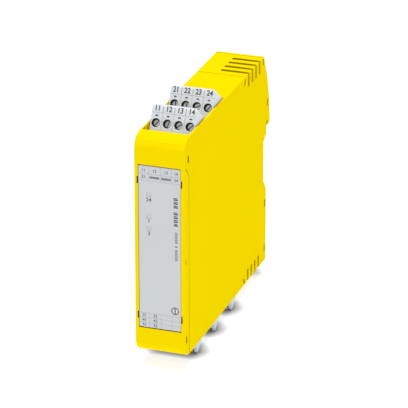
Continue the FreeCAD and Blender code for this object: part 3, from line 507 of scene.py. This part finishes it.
def printFootTable(sheet, bottom, span):
    look = labelPrint
    rows, pitch = look["footRows"], look["footPitch"]
    for row in range(rows):
        sheet.bar(0, bottom + pitch * (row + 1), span, look["lineWidth"], "pale")
        for column, x in enumerate(look["columnMiddles"][:2]):
            text = str(look["footNumbers"] + 10 * (rows - 1 - row) + column)
            sheet.words(text, x, bottom + pitch * (row + 0.5), look["figures"], "dark")
    tall = rows * pitch - look["lineMargin"]
    for x in look["columns"]:
        sheet.bar(x, bottom + look["lineMargin"] + tall / 2, look["lineWidth"], tall, "pale")


def printLabel():
    look = labelPrint
    low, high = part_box("label_plate")
    middle = (low.z + high.z) / 2
    sheet = Print("label_print", Vector((0, low.y, middle)), across, Vector((0, 0, 1)))
    span = (high.x - low.x) / mm - look["lineInset"]
    printHeadTable(sheet, (high.z - middle) / mm, span)
    printFootTable(sheet, (low.z - middle) / mm, span)
    # frames round the lamp windows, numbered below
    offset = (middle - sum(corner.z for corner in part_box("housing")) / 2) / mm
    side = look["windowSide"]
    for text, height in look["windowMarks"]:
        sheet.words(text, side, height - offset, look["windowFigures"], "dark", look["windowWide"])
        above = height + look["windowAbove"] - offset
        sheet.border(side, above, *look["windowFrame"], look["windowLine"], "faint")
    for ladder in look["ladders"]:
        printLadder(sheet, offset, **ladder)
    # a slotted screw's mark above the foot table
    mark = look["mark"]
    place = (mark["side"], mark["height"] - offset)
    sheet.ring(*place, mark["radius"], mark["line"], "dark")
    sheet.bar(*place, *mark["slot"], "dark")
    sheet.finish("base")


printLabel()
print("label printed")


plugPrint = {
    "figures": 2.3, "wide": 0.85, "bold": 0.035, "below": 2.0,
    "numbers": {"top_front": "11 12 13 14", "top_rear": "21 22 23 24", "bottom_front": "31 32 33 34",
                "bottom_middle": "41 42 43 44", "bottom_rear": "51 52 53 54"},
}


def printPlug(name):
    origin, right, out, ridge = rowFrame(name)
    sheet = Print("numbers_" + name, origin, right, out)
    look = plugPrint
    texts = look["numbers"][name].split()
    for number, text in enumerate(texts):
        side = (number - (len(texts) - 1) / 2) * polePitch
        sheet.words(text, side, ridge - look["below"], look["figures"], "dark", look["wide"], look["bold"])
    sheet.finish("plug_" + name)


for name in plugPrint["numbers"]:
    printPlug(name)
print("connectors numbered")


springLook = {"wire": 0.45, "turns": 9.0, "closed": 1.0, "steps": 28, "sides": 10}  # wire in mm


def windSpring():
    # round wire with closed end turns
    look = springLook
    turns, closed, thick = look["turns"], look["closed"], look["wire"] * mm
    low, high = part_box("latch_spring")
    centre = (low + high) / 2
    radius = (high.x - low.x - thick) / 2
    pitch = (high.z - low.z - thick - 2 * closed * thick) / (turns - 2 * closed)

    def heightAt(turn):
        tight = min(turn, closed) + max(0.0, turn - (turns - closed))
        return tight * thick + (turn - tight) * pitch

    shape = bmesh.new()
    rings = []
    for step in range(int(turns * look["steps"]) + 1):
        turn = step / look["steps"]
        outward = Vector((*around(turn), 0))
        middle = Vector((centre.x, centre.y, low.z + thick / 2 + heightAt(turn))) + outward * radius
        ring = []
        for side in range(look["sides"]):
            aside, up = around(side / look["sides"])
            ring.append(shape.verts.new(middle + (outward * aside + Vector((0, 0, up))) * (thick / 2)))
        rings.append(ring)
    for first, second in zip(rings, rings[1:]):
        for side in range(look["sides"]):
            following = (side + 1) % look["sides"]
            shape.faces.new((first[side], first[following], second[following], second[side]))
    shape.faces.new(rings[0])
    shape.faces.new(reversed(rings[-1]))
    bmesh.ops.recalc_face_normals(shape, faces=shape.faces)
    for face in shape.faces:
        face.smooth = True
    mesh = bpy.data.meshes.new("wound_spring")
    shape.to_mesh(mesh)
    shape.free()
    mesh.materials.append(finishes["spring"])
    spring = bpy.data.objects.new("wound_spring", mesh)
    bpy.context.scene.collection.objects.link(spring)
    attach(spring, "base")
    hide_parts("latch_spring")
    travel = jointNamed("rail_latch_slide")["range_m"][1]
    1 - travel / (high.z - low.z)
    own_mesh(spring)


windSpring()
print("spring wound")


# places and sizes in metres, power in watts; floorGlow keeps the floor pale,
# floorShade is its colour by the feet, and contact the reach of that shade in mm
studio = {
    "floorSize": 60.0, "floorColour": (0.5, 0.5, 0.5), "floorGlow": (0.68, 0.70, 0.74), "floorRough": 0.8,
    "floorShine": 0.1, "floorShade": (0.07, 0.07, 0.07), "contact": 6.4, "world": 0.35, "aim": (0, 0, 0.06),
    "key": {"place": (0.75, -1.15, 0.5), "size": 1.2, "power": 4.2},
    "top": {"place": (0.1, 0.0, 2.2), "size": 1.4, "power": 39},
    "fill": {"place": (-0.6, -1.2, 0.7), "size": 1.2, "power": 0.65},
}


def layFloor():
    half = studio["floorSize"] / 2
    mesh = bpy.data.meshes.new("floor")
    corners = [(-half, -half, 0), (half, -half, 0), (half, half, 0), (-half, half, 0)]
    mesh.from_pydata(corners, [], [(0, 1, 2, 3)])
    floor = bpy.data.objects.new("floor", mesh)
    bpy.context.scene.collection.objects.link(floor)
    shader = Shader("floorPaper")
    openness = shader.openness(studio["contact"], 3, samples=16)
    colour = shader.mix(openness, studio["floorShade"], studio["floorColour"])
    glow = shader.mix(openness, studio["floorShade"], studio["floorGlow"])
    mesh.materials.append(shader.set(
        Base_Color=colour, Roughness=studio["floorRough"], Specular_IOR_Level=studio["floorShine"],
        Emission_Strength=1.0, Emission_Color=glow))


def hangLight(name):
    look = studio[name]
    lamp = bpy.data.lights.new(name, "AREA")
    lamp.size, lamp.energy = look["size"], look["power"]
    thing = bpy.data.objects.new(name, lamp)
    thing.location = look["place"]
    towards = Vector(studio["aim"]) - Vector(look["place"])
    thing.rotation_euler = towards.to_track_quat("-Z", "Y").to_euler()
    bpy.context.scene.collection.objects.link(thing)


layFloor()
for name in ("key", "top", "fill"):
    hangLight(name)
world = bpy.data.worlds.new("studio")
world.use_nodes = True
world.node_tree.nodes["Background"].inputs["Color"].default_value = (1, 1, 1, 1)
world.node_tree.nodes["Background"].inputs["Strength"].default_value = studio["world"]
bpy.context.scene.world = world
bpy.context.scene.view_settings.view_transform = "Standard"

# place and clip in metres, turn and down in degrees, lens and sensor in mm
viewpoint = {"place": (0.4009, -1.1675, 0.5778), "turn": 18.96, "down": 23.02,
             "lens": 273.0, "sensor": 36.0, "clip": (0.01, 50)}
lensBody = bpy.data.cameras.new("camera")
lensBody.lens, lensBody.sensor_width = viewpoint["lens"], viewpoint["sensor"]
lensBody.clip_start, lensBody.clip_end = viewpoint["clip"]
camera = bpy.data.objects.new("camera", lensBody)
camera.location = viewpoint["place"]
camera.rotation_euler = (math.radians(90 - viewpoint["down"]), 0, math.radians(viewpoint["turn"]))
bpy.context.scene.collection.objects.link(camera)
bpy.context.scene.camera = camera
print("studio ready")
